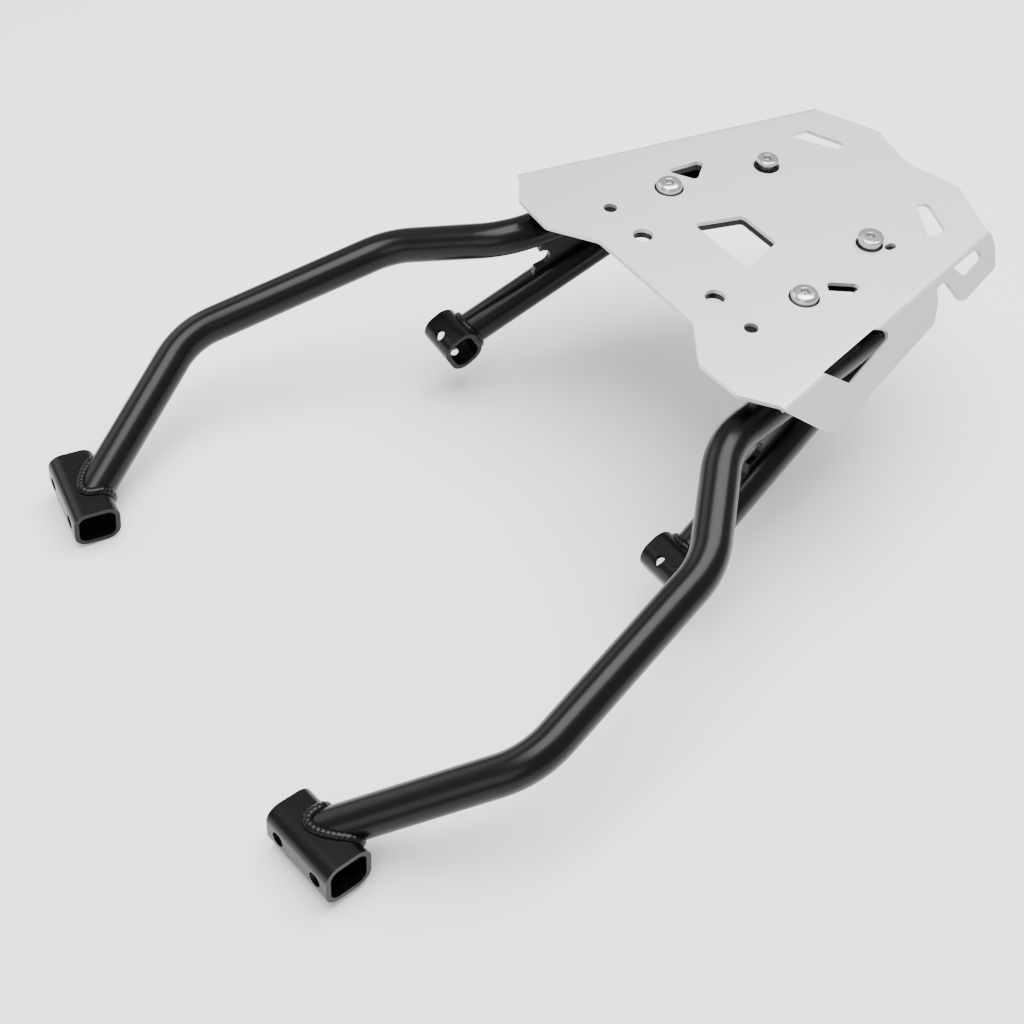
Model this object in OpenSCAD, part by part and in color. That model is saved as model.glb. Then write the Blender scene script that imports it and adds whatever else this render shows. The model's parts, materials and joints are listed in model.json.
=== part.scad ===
// Motorcycle luggage rack: folded aluminium platform on a welded steel tube frame.
// Origin at the middle of the four platform screws, on the top face of the platform.
// X points to the right of the motorcycle, Y to its tail, Z up. All sizes in millimetres.

/* [Sheet] */
// thickness of the folded aluminium platform
sheet_t = 2.5; // [2:0.5:3.5]
// thickness of the steel carrier under the platform
carrier_t = 4; // [3:0.5:5]
// angle by which the side flanges are folded down
fold_angle = 40; // [30:1:48]
// inside radius of the folds
fold_r = 3; // [2:0.5:4]

/* [Tubes] */
// outside diameter of the frame tubes
tube_d = 22; // [21:0.5:24]
// wall of the frame tubes
tube_wall = 2; // [1.5:0.5:3]
// centreline radius of the tube bends
bend_r = 50; // [40:1:60]
// thickness of the web between the two tubes
web_t = 4; // [3:0.5:5]
// how far the weld beads stand off the tubes
bead = 2.5; // [1.5:0.5:3.5]

/* [Front sleeves] */
// length of a front sleeve along its own axis
sleeve_len = 50; // [46:1:54]
// depth of the sleeve section beyond the tube diameter
sleeve_more_w = 6; // [5:0.5:8]
// height of the sleeve section beyond the tube diameter
sleeve_more_h = 5; // [4:0.5:8]
// corner radius of the sleeve section
sleeve_r = 8.5; // [6:0.5:10]
// wall of the sleeve
sleeve_wall = 3; // [2.5:0.5:4]
// diameter of the two holes in the front wall
sleeve_hole_d = 8.5; // [8:0.1:9]
// spacing of the two holes in the front wall
sleeve_pitch = 31; // [29:0.5:32]

/* [Lower brackets] */
// length of a lower bracket beyond the tube diameter
bracket_more_len = 4; // [2:0.5:6]
// bracket section across the tube, beyond its diameter
bracket_more_w = 7; // [5:0.5:9]
// bracket section along the tube, beyond its diameter
bracket_more_h = 2; // [1:0.5:4]
// corner radius of the bracket section
bracket_r = 10; // [8:0.5:11]
// wall of the bracket
bracket_wall = 3.2; // [2.5:0.1:4]
// diameter of the cross hole through both walls
bracket_hole_d = 6.6; // [6.4:0.1:7]

/* [Screws] */
// thread diameter of the platform screws
thread_d = 8; // [8:1:8]
// clearance round a thread
thread_gap = 0.4; // [0.3:0.1:0.6]
// diameter of the front screw heads
head_d = 16; // [15:0.5:17]
// height of a front screw head above the platform
head_rise = 4.6; // [4:0.2:5.4]
// width of the ring left open round the front screw heads
head_gap = 1.1; // [0.8:0.1:1.5]
// diameter of the openings round the rear screws
rear_hole_d = 16.4; // [16:0.2:18]
// across flats of the hexagon sockets
socket_af = 5; // [4:0.5:6]
// across flats of the weld nuts
nut_af = 13; // [13:1:13]
// height of the weld nuts
nut_h = 6.5; // [5:0.5:7]

/* [Part selection] */
// node drawn

/* [Hidden] */
$fn = 96;
arc_n = 5;            // chords in a rounded sheet corner
over = 1;             // overrun of cutting bodies
bend_thin = 0.06;     // a bend is drawn this much thinner than the straight tube
bend_lap = 1;         // length by which a straight run reaches into a bend
seam = 0.02;          // clearance kept between pieces joined by welding
small_hole_d = 8.4;
large_hole_d = 12;
tube_r = tube_d / 2;
carrier_z = -sheet_t - carrier_t;
sleeve_w = tube_d + sleeve_more_w;
sleeve_h = tube_d + sleeve_more_h;
bracket_len = tube_d + bracket_more_len;
bracket_w = tube_d + bracket_more_w;
bracket_h = tube_d + bracket_more_h;
head_hole_d = head_d + 2 * head_gap;

// fold line of the right side: start, direction and length
fold_from = [120.1, -99.5];
fold_turn = 102.37;
fold_len = 207.5;
fold_lead = 4;
fold_out = fold_r + sheet_t;
fold_back = fold_out * tan(fold_angle / 2);
fold_overlap = 1.5;     // strip by which a folded side reaches into the flat sheet
flange_max = 40;      // width of the blank before its outline is cut
blank_over = 10;      // room round the blank for the body that trims it

// platform outline to the right of the middle, from the front: x, y, corner radius
front_corners = [[42.9, -100.3, 8], [70.4, -119.1, 7], [100.3, -117.6, 5]];
rear_corners = [[35, 119.9, 8], [5.5, 112, 10]];

// carrier outline to the right of the middle
carrier_front = [[45, -91, 6], [63, -106, 6]];
carrier_front_y = -106;
carrier_rear_y = 60;
skirt_t = 3;
skirt_rear_y = 44;

// cut-outs shared by platform and carrier: x, y, corner radius
keystone = [[25.2, -43.5, 3], [14.9, -12.9, 3]];
triangle = [[76, -24.5, 2.5], [71.6, 5, 3], [57.5, -13.2, 3]];
rear_slot = [[63.6, 65.3, 3], [60.8, 81.2, 1], [34.2, 92.8, 4], [34.5, 83.7, 1]];
obround_at = [54.5, 41.5];
obround_d = 5;
obround_len = 3;

// sheet kept past the fold line: along the fold, down the flange, corner radius
flange_outline = [[-8, -20], [-8, 2.4], [-2.5, 2.4], [19.4, 32.3, 19], [57, 26.3, 20],
                  [126.8, 20.7, 6], [138.6, 12.3, 8], [143.2, 6, 1], [153.3, 6, 3], [155.8, 22.9, 5],
                  [196.2, 19.8, 5], [206, 9, 6], [208.2, 2.4], [214, 2.4], [214, -20]];
front_slot = [[33.4, -0.3], [83.6, -0.3], [92.2, 5, 3], [89, 9.4, 3], [46, 14.2, 2]];
rear_flange_slot = [[164.3, 3.3, 0.5], [190.4, 3.4, 3], [191, 9.8, 2.5], [168.2, 11.6, 1]];
// the left front slot reaches further inwards, past the fold
front_slot_left = [[33, -0.9], [82, -0.9], [91.5, 4.6, 3], [89, 9.4, 3], [46, 14.2, 2]];

// hole rows and fasteners: x on the right side, y
small_hole_at = [64, -75.8];
large_hole_at = [32.8, -75.5];
screw_front_at = [60.7, -33];
screw_rear_at = [45.6, 33];
stud_at = [83.6, 18.8];
stud_d = 10;
stud_pin_d = 6;
stud_long = 7;

// centreline corners of the right upper tube, from the sleeve to the rear end
upper_end = [134.6, -403.6, -127.4];
upper_knee = [185.4, -307, -81.5];
upper_bend = [155.7, -175.4, -47.8];
upper_turn = [104, -124, -29.9];
upper_tail = [81.8, 47, -20.2];

// centreline of the right lower tube, from the junction to the bracket
lower_top = [84.6, 18, -21.9];
lower_end = [114.2, -154.5, -105.6];

// seat of the right sleeve and bracket: middle, turn about Z, rise, roll
sleeve_mid = [140.3, -404.6, -129.6];
sleeve_yaw = 7;
sleeve_rise = 4.5;
sleeve_roll = -6;
bracket_mid = [113, -155.8, -103.5];
bracket_rise = 4.5;
bracket_roll = -62;
bracket_hole_g = -5;

// web outline: how far it runs along the tubes
web_front_up = -97;
web_front_low = -103;
web_back = -20;
web_notch_mid = [0, -103, -54.5];
web_notch_d = 12;
web_notch_len = 13;
web_notch_turn = -11;
web_blank = [20, -60, 200, 120];   // slab that the web lies in: start and size

// steps of the screw heads: height over the platform, diameter less than the head
head_steps = [[2.6, 0], [4, 2.4]];
head_top_less = 5;
rear_left = [13.5, 9.8, 6];        // cap diameter, neck diameter, height
rear_right = [15.5, 13.5, 6];
cap_t = 1.6;
cap_edge = 0.8;
shank_len = 14;
socket_deep = 3;
run_over = 20;                     // how far cutting rods run past the tube they copy

function unit(v) = v / norm(v);
function at_y(p, q, y) = p + (q - p) * ((y - p[1]) / (q[1] - p[1]));
function spin2(v, a) = [v[0] * cos(a) - v[1] * sin(a), v[0] * sin(a) + v[1] * cos(a)];
function xy(p) = [p[0], p[1]];
function rad(p) = len(p) > 2 ? p[2] : 0;

// points of one corner b between a and c, rounded with radius r
function corner(a, b, c, r) =
    r == 0 ? [b] :
    let (u = unit(a - b), v = unit(c - b),
         half = acos(u * v) / 2,
         mid = b + unit(u + v) * r / sin(half),
         from = b + u * r / tan(half) - mid,
         side = sign(u[0] * v[1] - u[1] * v[0]),
         sweep = side * (2 * half - 180))
    [for (i = [0 : arc_n]) mid + spin2(from, sweep * i / arc_n)];

function rounded(pts) =
    [for (i = [0 : len(pts) - 1])
        each corner(xy(pts[(i + len(pts) - 1) % len(pts)]), xy(pts[i]),
                    xy(pts[(i + 1) % len(pts)]), rad(pts[i]))];

function mirrored(pts) = [for (i = [len(pts) - 1 : -1 : 0]) [-pts[i][0], pts[i][1], rad(pts[i])]];
function both(pts) = concat(pts, mirrored(pts));
function folded(pts) = [for (p = pts) [p[0], -p[1], rad(p)]];

// point of the fold tangent line at distance s along the fold
function fold_point(s) = fold_from + spin2([s, fold_back], fold_turn);
function tube_x(y) = at_y(upper_turn, upper_tail, y)[0];

module aim(d) {
    rotate([0, acos(unit(d)[2]), atan2(d[1], d[0])]) children();
}

// as aim, with the local x axis turned to x_to
module aim_with(d, x_to) {
    b = acos(unit(d)[2]);
    c = atan2(d[1], d[0]);
    ex = [cos(b) * cos(c), cos(b) * sin(c), -sin(b)];
    ey = [-sin(c), cos(c), 0];
    rotate([0, b, c]) rotate([0, 0, atan2(x_to * ey, x_to * ex)]) children();
}

module rod(p, q, r) {
    translate(p) aim(q - p) cylinder(h = norm(q - p), r = r);
}

function bend_angle(a, b, c) = acos(unit(b - a) * unit(c - b));
function bend_in(a, b, c) = b - unit(b - a) * bend_r * tan(bend_angle(a, b, c) / 2);
function bend_out(a, b, c) = b + unit(c - b) * bend_r * tan(bend_angle(a, b, c) / 2);

function lap_in(a, b, c) = bend_in(a, b, c) + unit(b - a) * bend_lap;
function lap_out(a, b, c) = bend_out(a, b, c) - unit(c - b) * bend_lap;

module elbow(a, b, c, r) {
    d1 = unit(b - a);
    d2 = unit(c - b);
    n1 = unit(d2 - d1 * (d1 * d2));
    translate(bend_in(a, b, c) + n1 * bend_r)
        aim_with(cross(d1, d2), -n1)
            rotate_extrude(angle = bend_angle(a, b, c))
                translate([bend_r, 0]) circle(r = r);
}

// straight lengths are true to size, the drawn bends a hair thinner
module upper_path(r) {
    rod(upper_end, lap_in(upper_end, upper_knee, upper_bend), r);
    elbow(upper_end, upper_knee, upper_bend, r - bend_thin);
    rod(lap_out(upper_end, upper_knee, upper_bend),
        lap_in(upper_knee, upper_bend, upper_turn), r);
    elbow(upper_knee, upper_bend, upper_turn, r - bend_thin);
    rod(lap_out(upper_knee, upper_bend, upper_turn),
        lap_in(upper_bend, upper_turn, upper_tail), r);
    elbow(upper_bend, upper_turn, upper_tail, r - bend_thin);
    rod(lap_out(upper_bend, upper_turn, upper_tail), upper_tail, r);
}

// straight rear run of the upper tube as a solid rod
module upper_run(r) {
    rod(at_y(upper_turn, upper_tail, web_front_low - blank_over), upper_tail, r);
}

module section(w, h, r) {
    square([w - 2 * r, h], center = true);
    square([w, h - 2 * r], center = true);
    for (sx = [-1, 1], sy = [-1, 1])
        translate([sx * (w / 2 - r), sy * (h / 2 - r)]) circle(r = r);
}

// local z runs outwards along the sleeve axis, local x to the tail, local y up
module seat(mid, yaw, rise, roll) {
    translate(mid) rotate([0, 0, yaw]) rotate([0, -rise, 0])
        rotate([roll, 0, 0]) rotate([90, 0, 90]) children();
}

module sleeve_seat() {
    seat(sleeve_mid, sleeve_yaw, sleeve_rise, sleeve_roll) children();
}

module bracket_seat() {
    seat(bracket_mid, 0, bracket_rise, bracket_roll) children();
}

module bar(len, w, h, r) {
    translate([0, 0, -len / 2]) linear_extrude(height = len) section(w, h, r);
}

module sleeve_block(grow, extra = 0) {
    sleeve_seat() bar(sleeve_len + extra, sleeve_w + 2 * grow, sleeve_h + 2 * grow, sleeve_r + grow);
}

module bracket_block(grow, extra = 0) {
    bracket_seat() bar(bracket_len + extra, bracket_w + 2 * grow, bracket_h + 2 * grow, bracket_r + grow);
}

module fold_seat() {
    translate([fold_from[0], fold_from[1], 0]) rotate([0, 0, fold_turn]) children();
}

// section across a fold: lead inside the platform, bend and flange
module fold_section(t) {
    intersection() {
        circle(r = t);
        polygon([[0.5, 0], [0.5, 3 * fold_out], [0, 3 * fold_out],
                 [-3 * fold_out * sin(fold_angle), 3 * fold_out * cos(fold_angle)], [0, -0.5]]);
    }
    square([fold_overlap, t]);
    rotate(fold_angle) mirror([1, 0]) square([flange_max, t]);
}

module fold_side() {
    fold_seat() difference() {
        translate([-fold_lead, fold_back, -fold_out]) rotate([90, 0, 90])
            linear_extrude(height = fold_len + fold_lead)
                difference() {
                    fold_section(fold_out);
                    circle(r = fold_r);
                    translate([0, -over]) square([fold_overlap + over, fold_r + over]);
                    rotate(fold_angle) mirror([1, 0])
                        translate([0, -over]) square([flange_max + over, fold_r + over]);
                }
        rotate([fold_angle, 0, 0]) translate([0, 0, -4 * sheet_t])
            linear_extrude(height = 6 * sheet_t)
                difference() {
                    translate([-blank_over, -2 * flange_max])
                        square([fold_len + 2 * blank_over, 2 * flange_max + over]);
                    polygon(rounded(folded(flange_outline)));
                }
    }
}

module flange_slots(front) {
    fold_seat() rotate([fold_angle, 0, 0])
        for (s = [front, rear_flange_slot])
            translate([0, 0, -3 * sheet_t]) linear_extrude(height = 5 * sheet_t)
                polygon(rounded(folded(s)));
}

module shared_openings() {
    translate([0, 0, carrier_z - over]) linear_extrude(height = -carrier_z + 2 * over) {
        polygon(rounded(both(keystone)));
        for (side = [0, 1]) mirror([side, 0, 0]) {
            polygon(rounded(triangle));
            translate(large_hole_at) circle(d = large_hole_d);
        }
    }
}

module top_plate() {
    color([0.78, 0.79, 0.81])
    difference() {
        union() {
            translate([0, 0, -sheet_t]) linear_extrude(height = sheet_t)
                polygon(rounded(both(concat(front_corners,
                    [fold_point(-fold_lead), fold_point(fold_len)], rear_corners))));
            fold_side();
            mirror([1, 0, 0]) fold_side();
        }
        shared_openings();
        flange_slots(front_slot);
        mirror([1, 0, 0]) flange_slots(front_slot_left);
        translate([0, 0, -sheet_t - over]) linear_extrude(height = sheet_t + 2 * over) {
            for (side = [0, 1]) mirror([side, 0, 0]) {
                polygon(rounded(rear_slot));
                translate(small_hole_at) circle(d = small_hole_d);
                translate(screw_front_at) circle(d = head_hole_d);
                translate(screw_rear_at) circle(d = rear_hole_d);
            }
            translate([-stud_at[0], stud_at[1]]) circle(d = stud_d);
            stud_outline();
            for (e = [-1, 1]) translate(obround_at + [0, e * obround_len / 2]) circle(d = obround_d);
            translate(obround_at) square([obround_d, obround_len], center = true);
        }
    }
}

// folded edge of the carrier, before its foot is shaped to the tube
module skirt_slab(grow) {
    top0 = at_y(upper_turn, upper_tail, carrier_front_y);
    top1 = at_y(upper_turn, upper_tail, skirt_rear_y);
    w = skirt_t / 2 + grow;
    translate([0, 0, top0[2]]) linear_extrude(height = -sheet_t - top0[2])
        polygon([[top0[0] - w, carrier_front_y], [top0[0] + w, carrier_front_y],
                 [top1[0] + w, skirt_rear_y], [top1[0] - w, skirt_rear_y]]);
}

module skirt() {
    difference() {
        skirt_slab(0);
        rod(at_y(upper_turn, upper_tail, carrier_front_y - run_over),
            at_y(upper_turn, upper_tail, skirt_rear_y + run_over), tube_r + seam);
    }
}

module carrier_plate() {
    color([0.08, 0.08, 0.09])
    difference() {
        union() {
            translate([0, 0, carrier_z]) linear_extrude(height = carrier_t)
                polygon(rounded(both(concat(carrier_front,
                    [[tube_x(carrier_front_y) + skirt_t / 2, carrier_front_y],
                     [tube_x(carrier_rear_y) + skirt_t / 2, carrier_rear_y]]))));
            skirt();
            mirror([1, 0, 0]) skirt();
        }
        shared_openings();
        translate([0, 0, carrier_z - over]) linear_extrude(height = carrier_t + 2 * over)
            for (side = [0, 1]) mirror([side, 0, 0]) {
                translate(screw_front_at) circle(d = thread_d + thread_gap);
                translate(screw_rear_at) circle(d = thread_d + thread_gap);
                translate(stud_at) circle(d = stud_pin_d);
            }
    }
}

module upper_tube_right() {
    color([0.07, 0.07, 0.08])
    difference() {
        upper_path(tube_r);
        upper_path(tube_r - tube_wall);
        sleeve_block(seam);
    }
}

module lower_tube_right() {
    color([0.07, 0.07, 0.08])
    difference() {
        rod(lower_top, lower_end, tube_r);
        rod(lower_top, lower_end, tube_r - tube_wall);
        upper_run(tube_r + seam);
        bracket_block(seam);
    }
}

module web_right() {
    up = upper_tail - upper_turn;
    low = lower_end - lower_top;
    n = unit(cross(low, up));
    back = unit(low);
    c = cross(n, back);
    color([0.07, 0.07, 0.08])
    difference() {
        translate(lower_top) aim_with(n, back)
            translate([0, 0, -web_t / 2]) linear_extrude(height = web_t)
                difference() {
                    polygon([for (p = [at_y(upper_turn, upper_tail, web_front_up),
                                       at_y(lower_top, lower_end, web_front_low),
                                       at_y(lower_top, lower_end, web_back),
                                       at_y(upper_turn, upper_tail, web_back)])
                             [(p - lower_top) * back, (p - lower_top) * c]]);
                    web_notch(back, c);
                }
        rod(lower_top, lower_end, tube_r + seam);
        upper_run(tube_r + seam);
    }
}

// rounded notch in the front edge of the web, in the plane of the two tubes
module web_notch(back, c) {
    at = at_y(lower_top, lower_end, web_notch_mid[1]);
    p = [at[0], web_notch_mid[1], web_notch_mid[2]];
    translate([(p - lower_top) * back, (p - lower_top) * c]) rotate(web_notch_turn) {
        square([web_notch_len, web_notch_d], center = true);
        for (e = [-1, 1]) translate([e * web_notch_len / 2, 0]) circle(d = web_notch_d);
    }
}

module tube_weld_right() {
    color([0.1, 0.1, 0.11])
    difference() {
        intersection() {
            rod(lower_top, lower_end, tube_r + bead);
            upper_run(tube_r + bead);
        }
        rod(lower_top, lower_end, tube_r + seam);
        upper_run(tube_r + seam);
        web_slab();
        skirt_slab(seam);
    }
}

// space taken by the web, as a plain slab
module web_slab() {
    up = upper_tail - upper_turn;
    low = lower_end - lower_top;
    n = unit(cross(low, up));
    translate(lower_top) aim_with(n, unit(low))
        translate([web_blank[0], web_blank[1], -web_t / 2 - seam])
            cube([web_blank[2], web_blank[3], web_t + 2 * seam]);
}

module front_sleeve_right() {
    color([0.07, 0.07, 0.08])
    difference() {
        sleeve_block(0);
        sleeve_seat() bar(sleeve_len + 2 * over, sleeve_w - 2 * sleeve_wall,
                          sleeve_h - 2 * sleeve_wall, sleeve_r - sleeve_wall);
        sleeve_seat() for (e = [-1, 1])
            translate([0, 0, e * sleeve_pitch / 2]) rotate([0, -90, 0])
                cylinder(h = sleeve_w, d = sleeve_hole_d);
    }
}

module sleeve_weld_right() {
    color([0.1, 0.1, 0.11])
    difference() {
        intersection() {
            rod(upper_end, upper_end + (upper_knee - upper_end) * 0.5, tube_r + bead);
            sleeve_block(bead);
        }
        rod(upper_end, upper_end + (upper_knee - upper_end) * 0.6, tube_r + seam);
        sleeve_block(seam, 2 * over);
    }
}

module lower_bracket_right() {
    color([0.07, 0.07, 0.08])
    difference() {
        bracket_block(0);
        bracket_seat() bar(bracket_len + 2 * over, bracket_w - 2 * bracket_wall,
                           bracket_h - 2 * bracket_wall, bracket_r - bracket_wall);
        bracket_seat() translate([-bracket_w, bracket_hole_g, 0]) rotate([0, 90, 0])
            cylinder(h = 2 * bracket_w, d = bracket_hole_d);
    }
}

module bracket_weld_right() {
    color([0.1, 0.1, 0.11])
    difference() {
        intersection() {
            rod(lower_top, lower_end, tube_r + bead);
            bracket_block(bead);
        }
        rod(lower_top, lower_end, tube_r + seam);
        bracket_block(seam, 2 * over);
    }
}

module shank() {
    translate([0, 0, -sheet_t - shank_len]) cylinder(h = shank_len, d = thread_d);
}

module socket(top) {
    translate([0, 0, top - socket_deep])
        cylinder(h = socket_deep + over, d = socket_af / cos(30), $fn = 6);
}

module front_screw() {
    low = head_steps[0];
    high = head_steps[1];
    color([0.7, 0.7, 0.7])
    difference() {
        union() {
            translate([0, 0, -sheet_t]) cylinder(h = sheet_t + low[0], d = head_d);
            translate([0, 0, low[0]])
                cylinder(h = high[0] - low[0], d1 = head_d - low[1], d2 = head_d - high[1]);
            translate([0, 0, high[0]])
                cylinder(h = head_rise - high[0], d1 = head_d - high[1], d2 = head_d - head_top_less);
            shank();
        }
        socket(head_rise);
    }
}

// shouldered screw: washer-like cap on a neck, standing in its opening
module rear_screw(sizes) {
    cap = sizes[0];
    rise = sizes[2];
    color([0.7, 0.7, 0.7])
    difference() {
        union() {
            translate([0, 0, -sheet_t]) cylinder(h = sheet_t + rise - cap_t, d = sizes[1]);
            translate([0, 0, rise - cap_t - cap_edge]) cylinder(h = cap_t, d = cap);
            translate([0, 0, rise - cap_edge]) cylinder(h = cap_edge, d1 = cap, d2 = cap - 2 * cap_edge);
            shank();
        }
        socket(rise);
    }
}

module nut() {
    color([0.12, 0.12, 0.12])
    translate([0, 0, carrier_z - nut_h]) difference() {
        cylinder(h = nut_h, d = nut_af / cos(30), $fn = 6);
        translate([0, 0, -over]) cylinder(h = nut_h + 2 * over, d = thread_d + thread_gap / 2);
    }
}

module stud_left() {
    color([0.76, 0.77, 0.79])
    translate([-stud_at[0], stud_at[1], 0]) {
        translate([0, 0, -sheet_t]) cylinder(h = sheet_t, d = stud_d);
        translate([0, 0, carrier_z]) cylinder(h = carrier_t, d = stud_pin_d);
    }
}

module stud_outline() {
    translate(stud_at) {
        for (e = [-1, 1]) translate([0, e * stud_long / 2]) circle(d = stud_d);
        square([stud_d, stud_long], center = true);
    }
}

module stud_right() {
    color([0.76, 0.77, 0.79]) {
        translate([0, 0, -sheet_t]) linear_extrude(height = sheet_t) stud_outline();
        translate([stud_at[0], stud_at[1], carrier_z]) cylinder(h = carrier_t, d = stud_pin_d);
    }
}

module left() {
    mirror([1, 0, 0]) children();
}

top_plate();
carrier_plate();
left() upper_tube_right();  // upper_tube_left
upper_tube_right();
left() lower_tube_right();  // lower_tube_left
lower_tube_right();
left() web_right();  // web_left
web_right();
left() tube_weld_right();  // tube_weld_left
tube_weld_right();
left() front_sleeve_right();  // front_sleeve_left
front_sleeve_right();
left() sleeve_weld_right();  // sleeve_weld_left
sleeve_weld_right();
left() lower_bracket_right();  // lower_bracket_left
lower_bracket_right();
left() bracket_weld_right();  // bracket_weld_left
bracket_weld_right();
translate([-screw_front_at[0], screw_front_at[1], 0]) front_screw();  // screw_front_left
translate([screw_front_at[0], screw_front_at[1], 0]) front_screw();  // screw_front_right
translate([-screw_rear_at[0], screw_rear_at[1], 0]) rear_screw(rear_left);  // screw_rear_left
translate([screw_rear_at[0], screw_rear_at[1], 0]) rear_screw(rear_right);  // screw_rear_right
translate([-screw_front_at[0], screw_front_at[1], 0]) nut();  // nut_front_left
translate([screw_front_at[0], screw_front_at[1], 0]) nut();  // nut_front_right
translate([-screw_rear_at[0], screw_rear_at[1], 0]) nut();  // nut_rear_left
translate([screw_rear_at[0], screw_rear_at[1], 0]) nut();  // nut_rear_right
stud_left();  // flush_stud_left
stud_right();  // flush_stud_right
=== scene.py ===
import json
import math

import bmesh
import bpy
from mathutils import Matrix, Vector
from mathutils.bvhtree import BVHTree


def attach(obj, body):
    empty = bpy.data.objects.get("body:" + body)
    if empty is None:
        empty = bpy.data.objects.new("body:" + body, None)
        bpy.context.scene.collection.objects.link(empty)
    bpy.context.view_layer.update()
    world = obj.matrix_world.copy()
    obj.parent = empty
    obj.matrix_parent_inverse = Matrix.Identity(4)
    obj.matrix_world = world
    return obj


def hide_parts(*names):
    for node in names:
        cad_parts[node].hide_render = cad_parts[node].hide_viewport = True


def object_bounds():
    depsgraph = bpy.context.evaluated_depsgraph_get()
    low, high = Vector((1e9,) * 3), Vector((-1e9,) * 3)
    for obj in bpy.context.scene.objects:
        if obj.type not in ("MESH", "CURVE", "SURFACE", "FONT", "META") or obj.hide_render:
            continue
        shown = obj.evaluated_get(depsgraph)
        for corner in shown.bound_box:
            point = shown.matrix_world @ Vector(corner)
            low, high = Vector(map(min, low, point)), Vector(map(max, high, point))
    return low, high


MM = 0.001
# tube lines of the right side, in mm, as the solids have them
TUBE_R = 11
UPPER_KNEE = (185.4, -307, -81.5)
UPPER_END = (134.6, -403.6, -127.4)
LOWER_TOP = (84.6, 18, -21.9)
LOWER_END = (114.2, -154.5, -105.6)
# weld beads: rays round the tube, step along the bead in mm, steps to a drop, depth of a drop
BEAD_RAYS = 72
BEAD_SMOOTHING = 3
BEAD_STEP = 0.9
RIPPLE_STEPS = 3
RIPPLE = 0.09
BEAD_SIDES = 12
BEAD_LIFT = 0.2
SLEEVE_BEAD = 2.9
BRACKET_BEAD = 2.6
# softened edges: vertices merged within this many mm, and angles in degrees
MERGE = 0.002
FLAT_ANGLE = 0.6
EDGE_ANGLE = 38
SMOOTH_ANGLE = 35
BEAD_SMOOTH_ANGLE = 60

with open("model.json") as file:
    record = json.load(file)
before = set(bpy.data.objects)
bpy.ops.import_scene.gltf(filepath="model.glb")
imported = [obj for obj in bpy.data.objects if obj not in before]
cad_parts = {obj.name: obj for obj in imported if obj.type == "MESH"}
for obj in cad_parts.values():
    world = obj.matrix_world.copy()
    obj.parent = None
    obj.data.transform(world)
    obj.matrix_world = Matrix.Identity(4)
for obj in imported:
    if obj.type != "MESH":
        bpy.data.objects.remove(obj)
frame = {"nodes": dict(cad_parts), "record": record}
cad_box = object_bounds()


# Colour and node helpers
def srgb(code):
    parts = [int(code[i:i + 2], 16) / 255 for i in (1, 3, 5)]
    return tuple(c / 12.92 if c <= 0.04045 else ((c + 0.055) / 1.055) ** 2.4 for c in parts) + (1.0,)


def add(mat, kind, values=None, **settings):
    node = mat.node_tree.nodes.new(kind)
    for key, value in settings.items():
        setattr(node, key, value)
    for socket, value in (values or {}).items():
        target = node.inputs[socket]
        if isinstance(value, tuple) and len(value) == 2 and hasattr(value[0], "outputs"):
            mat.node_tree.links.new(value[0].outputs[value[1]], target)
        else:
            target.default_value = value
    return node


def finish_named(name):
    mat = bpy.data.materials.new(name)
    mat.use_nodes = True
    mat.node_tree.nodes.clear()
    return mat


def close(mat, shader):
    out = add(mat, "ShaderNodeOutputMaterial")
    mat.node_tree.links.new(shader.outputs[0], out.inputs["Surface"])
    return mat


# Fine glass-bead blasted aluminium, clear anodised: an even pale grey with a soft sheen
def blasted_anodised_aluminium():
    mat = finish_named("blasted_anodised_aluminium")
    place = add(mat, "ShaderNodeTexCoord")
    cloud = add(mat, "ShaderNodeTexNoise", {"Vector": (place, "Object"), "Scale": 22.0, "Detail": 3.0})
    tone = add(mat, "ShaderNodeMixRGB", {"Fac": (cloud, "Fac"), "Color1": srgb("#C9CACD"),
                                         "Color2": srgb("#D2D3D6")})
    # blast pits are 0.1 mm in the real sheet; drawn at 0.5 mm so that they show
    pits = add(mat, "ShaderNodeTexNoise", {"Vector": (place, "Object"), "Scale": 2000.0, "Detail": 2.0})
    rough = add(mat, "ShaderNodeMapRange", {"Value": (pits, "Fac"), "To Min": 0.46, "To Max": 0.58})
    bump = add(mat, "ShaderNodeBump", {"Strength": 0.06, "Distance": 0.00005, "Height": (pits, "Fac")})
    metal = add(mat, "ShaderNodeBsdfPrincipled", {
        "Base Color": (tone, "Color"), "Metallic": 0.75, "Roughness": (rough, "Result"),
        "Normal": (bump, "Normal")})
    return close(mat, metal)


# Satin black polyester powder coat on steel: near black, soft long highlights, fine orange peel
def satin_black_powder_coat(name="satin_black_powder_coat", lift=1.0):
    mat = finish_named(name)
    place = add(mat, "ShaderNodeTexCoord")
    # orange peel about 1.5 mm across
    peel = add(mat, "ShaderNodeTexNoise", {"Vector": (place, "Object"), "Scale": 650.0, "Detail": 1.0})
    grain = add(mat, "ShaderNodeTexNoise", {"Vector": (place, "Object"), "Scale": 2400.0, "Detail": 2.0})
    rough = add(mat, "ShaderNodeMapRange", {"Value": (grain, "Fac"), "To Min": 0.22, "To Max": 0.3})
    bump = add(mat, "ShaderNodeBump", {"Strength": 0.1 * lift, "Distance": 0.00006,
                                       "Height": (peel, "Fac")})
    coat = add(mat, "ShaderNodeBsdfPrincipled", {
        "Base Color": srgb("#08080A"), "Roughness": (rough, "Result"), "IOR": 1.5,
        "Specular IOR Level": 0.2,
        "Normal": (bump, "Normal")})
    return close(mat, coat)


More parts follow.
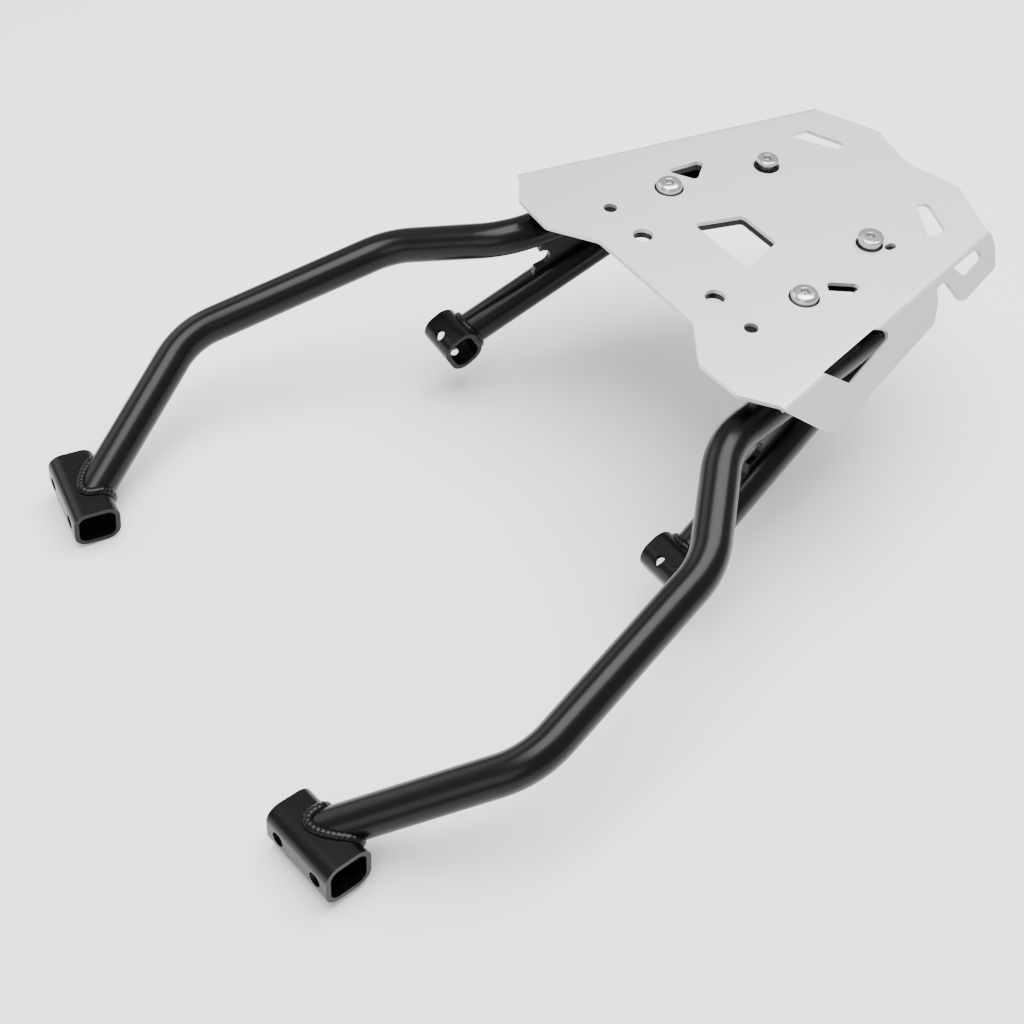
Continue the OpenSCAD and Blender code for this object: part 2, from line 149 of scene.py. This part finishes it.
# Turned and lightly polished stainless steel, a little smeared
def turned_stainless_steel():
    mat = finish_named("turned_stainless_steel")
    place = add(mat, "ShaderNodeTexCoord")
    smear = add(mat, "ShaderNodeTexNoise", {"Vector": (place, "Object"), "Scale": 400.0, "Detail": 3.0})
    rough = add(mat, "ShaderNodeMapRange", {"Value": (smear, "Fac"), "To Min": 0.16, "To Max": 0.3})
    metal = add(mat, "ShaderNodeBsdfPrincipled", {
        "Base Color": srgb("#C9C8C5"), "Metallic": 1.0, "Roughness": (rough, "Result")})
    return close(mat, metal)


# Black oxide steel: dark, slightly oily
def black_oxide_steel():
    mat = finish_named("black_oxide_steel")
    place = add(mat, "ShaderNodeTexCoord")
    stain = add(mat, "ShaderNodeTexNoise", {"Vector": (place, "Object"), "Scale": 300.0, "Detail": 3.0})
    rough = add(mat, "ShaderNodeMapRange", {"Value": (stain, "Fac"), "To Min": 0.35, "To Max": 0.55})
    metal = add(mat, "ShaderNodeBsdfPrincipled", {
        "Base Color": srgb("#2A2B2D"), "Metallic": 1.0, "Roughness": (rough, "Result")})
    return close(mat, metal)


FINISH = {
    "anodised_aluminium": blasted_anodised_aluminium(),
    "black_powder_coat": satin_black_powder_coat(),
    "coated_weld": satin_black_powder_coat("powder_coated_weld", 0.6),
    "stainless_steel": turned_stainless_steel(),
    "black_oxide_steel": black_oxide_steel(),
}
SLOT_OF = {p["node"]: p["material_slot"] for p in frame["record"]["subparts"]}


def smooth(obj, limit=SMOOTH_ANGLE):
    bpy.ops.object.select_all(action="DESELECT")
    obj.select_set(True)
    bpy.context.view_layer.objects.active = obj
    bpy.ops.object.shade_smooth_by_angle(angle=math.radians(limit))


for name, node in frame["nodes"].items():
    node.data.materials.clear()
    node.data.materials.append(FINISH[SLOT_OF[name]])


# A copy of a solid with its cut edges broken as deburring and coating leave them
def eased(name, width, segments=3):
    source = frame["nodes"][name]
    bm = bmesh.new()
    bm.from_mesh(source.data)
    bmesh.ops.transform(bm, matrix=source.matrix_world, verts=bm.verts)
    bmesh.ops.remove_doubles(bm, verts=bm.verts, dist=MERGE * MM)
    bmesh.ops.dissolve_limit(bm, angle_limit=math.radians(FLAT_ANGLE), verts=bm.verts, edges=bm.edges)
    mesh = bpy.data.meshes.new(name + "_eased")
    bm.to_mesh(mesh)
    bm.free()
    obj = bpy.data.objects.new(name + "_eased", mesh)
    bpy.context.collection.objects.link(obj)
    bevel = obj.modifiers.new("edges", "BEVEL")
    bevel.width = width * MM
    bevel.segments = segments
    bevel.limit_method = "ANGLE"
    bevel.angle_limit = math.radians(EDGE_ANGLE)
    bevel.harden_normals = True
    obj.data.materials.append(FINISH[SLOT_OF[name]])
    smooth(obj)
    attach(obj, "root")
    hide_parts(name)
    return obj


for side in ("left", "right"):
    eased("front_sleeve_" + side, 0.7)
    eased("lower_bracket_" + side, 0.7)
    eased("web_" + side, 0.5)
    eased("screw_front_" + side, 0.9, 4)
    eased("screw_rear_" + side, 0.6, 4)
eased("top_plate", 0.4)
eased("carrier_plate", 0.4)


# A weld bead under the coating: a closed rope of overlapping drops that lies in the corner
# between a round tube and the piece that the tube runs into
def bead(name, start, end, target, radius):
    source = frame["nodes"][target]
    bm = bmesh.new()
    bm.from_mesh(source.data)
    bmesh.ops.transform(bm, matrix=source.matrix_world, verts=bm.verts)
    tree = BVHTree.FromBMesh(bm)
    bm.free()
    axis = (Vector(end) - Vector(start)).normalized()
    side = axis.orthogonal().normalized()
    other = axis.cross(side)
    path = []
    for i in range(BEAD_RAYS):
        turn = math.tau * i / BEAD_RAYS
        out = side * math.cos(turn) + other * math.sin(turn)
        hit = tree.ray_cast((Vector(start) + out * (TUBE_R + BEAD_LIFT)) * MM, axis)[0]
        if hit is not None:
            path.append(hit - axis * BEAD_LIFT * MM)
    for _ in range(BEAD_SMOOTHING):
        path = [(path[i - 1] + path[i] * 2 + path[(i + 1) % len(path)]) / 4
                for i in range(len(path))]
    steps = evenly(path, BEAD_STEP * MM)
    bm = bmesh.new()
    ring = bmesh.ops.create_circle(bm, segments=BEAD_SIDES, radius=1.0)["verts"]
    edges = list({e for v in ring for e in v.link_edges})
    first = edges
    now = placing(steps, 0, radius, axis)
    bmesh.ops.transform(bm, matrix=now, verts=ring)
    for k in range(1, len(steps)):
        grown = bmesh.ops.extrude_edge_only(bm, edges=edges)["geom"]
        ring = [g for g in grown if isinstance(g, bmesh.types.BMVert)]
        edges = [g for g in grown if isinstance(g, bmesh.types.BMEdge)
                 and all(v in ring for v in g.verts)]
        new = placing(steps, k, radius, axis)
        bmesh.ops.transform(bm, matrix=new @ now.inverted(), verts=ring)
        now = new
    bmesh.ops.bridge_loops(bm, edges=first + edges)
    bmesh.ops.recalc_face_normals(bm, faces=bm.faces)
    mesh = bpy.data.meshes.new(name + "_bead")
    bm.to_mesh(mesh)
    bm.free()
    obj = bpy.data.objects.new(name + "_bead", mesh)
    bpy.context.collection.objects.link(obj)
    obj.data.materials.append(FINISH[SLOT_OF[name]])
    smooth(obj, BEAD_SMOOTH_ANGLE)
    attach(obj, "root")
    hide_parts(name)


# Points of a closed path at even steps
def evenly(path, step):
    lengths = [(path[(i + 1) % len(path)] - path[i]).length for i in range(len(path))]
    count = RIPPLE_STEPS * round(sum(lengths) / step / RIPPLE_STEPS)
    points, i, passed = [], 0, 0.0
    for k in range(count):
        want = sum(lengths) * k / count
        while passed + lengths[i] < want:
            passed += lengths[i]
            i += 1
        points.append(path[i].lerp(path[(i + 1) % len(path)], (want - passed) / lengths[i]))
    return points


# Where the ring number k of a bead stands, thick in the middle of a drop and thin between two
def placing(steps, k, radius, axis):
    ahead = (steps[(k + 1) % len(steps)] - steps[k - 1]).normalized()
    across = (axis - ahead * axis.dot(ahead)).normalized()
    turned = Matrix((across, ahead.cross(across), ahead)).transposed().to_4x4()
    thick = radius * (1 + RIPPLE * math.cos(math.tau * k / RIPPLE_STEPS)) * MM
    return Matrix.Translation(steps[k]) @ turned @ Matrix.Scale(thick, 4)


def mirrored(point, side):
    return point if side == "right" else (-point[0], point[1], point[2])


for side in ("left", "right"):
    bead("sleeve_weld_" + side, mirrored(UPPER_KNEE, side), mirrored(UPPER_END, side),
         "front_sleeve_" + side, SLEEVE_BEAD)
    bead("bracket_weld_" + side, mirrored(LOWER_TOP, side), mirrored(LOWER_END, side),
         "lower_bracket_" + side, BRACKET_BEAD)


# Camera high at the front right, with a 51 mm lens and a slight roll
def camera():
    data = bpy.data.cameras.new("camera")
    data.lens = 51.07
    data.sensor_width = 36
    data.clip_start = 0.01
    data.clip_end = 50
    cam = bpy.data.objects.new("camera", data)
    bpy.context.collection.objects.link(cam)
    right = Vector((0.57380, 0.81823, 0.03459))
    up = Vector((-0.62923, 0.41344, 0.65814))
    back = right.cross(up)
    place = Vector((0.4739, -0.5477, 0.5334))
    cam.matrix_world = Matrix((
        (right.x, up.x, back.x, place.x),
        (right.y, up.y, back.y, place.y),
        (right.z, up.z, back.z, place.z),
        (0, 0, 0, 1)))
    bpy.context.scene.camera = cam


camera()


def lamp(name, place, aim, size, power):
    data = bpy.data.lights.new(name, "AREA")
    data.shape = "RECTANGLE"
    data.size = size[0]
    data.size_y = size[1]
    data.energy = power
    obj = bpy.data.objects.new(name, data)
    bpy.context.collection.objects.link(obj)
    obj.location = place
    obj.rotation_euler = (Vector(aim) - Vector(place)).to_track_quat("-Z", "Y").to_euler()


def ground():
    bm = bmesh.new()
    bmesh.ops.create_grid(bm, x_segments=1, y_segments=1, size=6)
    bmesh.ops.translate(bm, verts=bm.verts, vec=(0, 0, cad_box[0][2] - 0.001))
    mesh = bpy.data.meshes.new("floor")
    bm.to_mesh(mesh)
    bm.free()
    obj = bpy.data.objects.new("floor", mesh)
    bpy.context.collection.objects.link(obj)
    mat = finish_named("matt_white_paper")
    paper = add(mat, "ShaderNodeBsdfPrincipled", {"Base Color": srgb("#F6F6F6"), "Roughness": 0.9})
    close(mat, paper)
    obj.data.materials.append(mat)


ground()
lamp("overhead", (0.0, 0.1, 1.6), (0, -0.1, 0), (1.3, 2.2), 92)
lamp("left_bank", (-1.5, -0.9, 0.9), (0, -0.1, 0), (1.6, 1.0), 11)
lamp("front_bank", (0.9, -1.6, 0.8), (0, -0.1, 0), (1.4, 0.8), 8)

world = bpy.data.worlds.new("studio")
bpy.context.scene.world = world
world.use_nodes = True
world.node_tree.nodes["Background"].inputs["Color"].default_value = srgb("#FFFFFF")
world.node_tree.nodes["Background"].inputs["Strength"].default_value = 0.7
